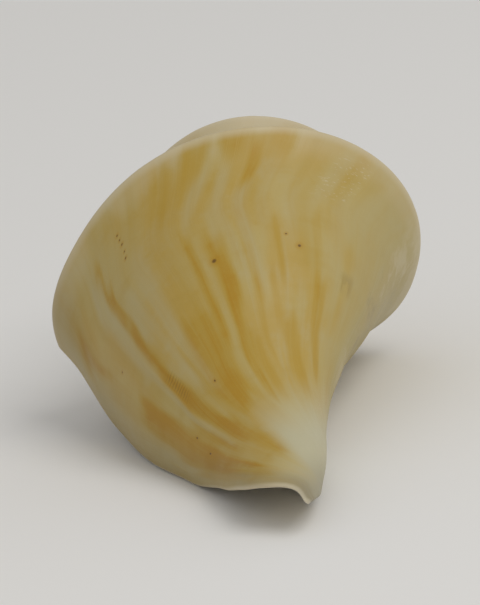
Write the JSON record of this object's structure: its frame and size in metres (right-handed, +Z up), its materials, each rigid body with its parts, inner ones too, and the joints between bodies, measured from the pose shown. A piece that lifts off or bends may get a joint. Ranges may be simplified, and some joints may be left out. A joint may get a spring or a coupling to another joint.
{
  "type": "turrid shell",
  "caption": "Sea-snail shell with a stepped spire of keeled whorls, a tall body whorl and an open canal, lying on its aperture.",
  "frame": {"origin": "on the surface that the shell lies on, under the middle of its bounding box", "axes": "+Z up, +Y along the coiling axis towards the apex of the spire, -Y towards the canal's tip, +X to the side away from the outer lip"},
  "size_m": [0.04, 0.0796, 0.0306],
  "materials": {
    "shell": "cream and ochre shell with a soft gloss"
  },
  "bodies": {
    "root": {"turrid_shell": "shell"}
  },
  "joints": []
}
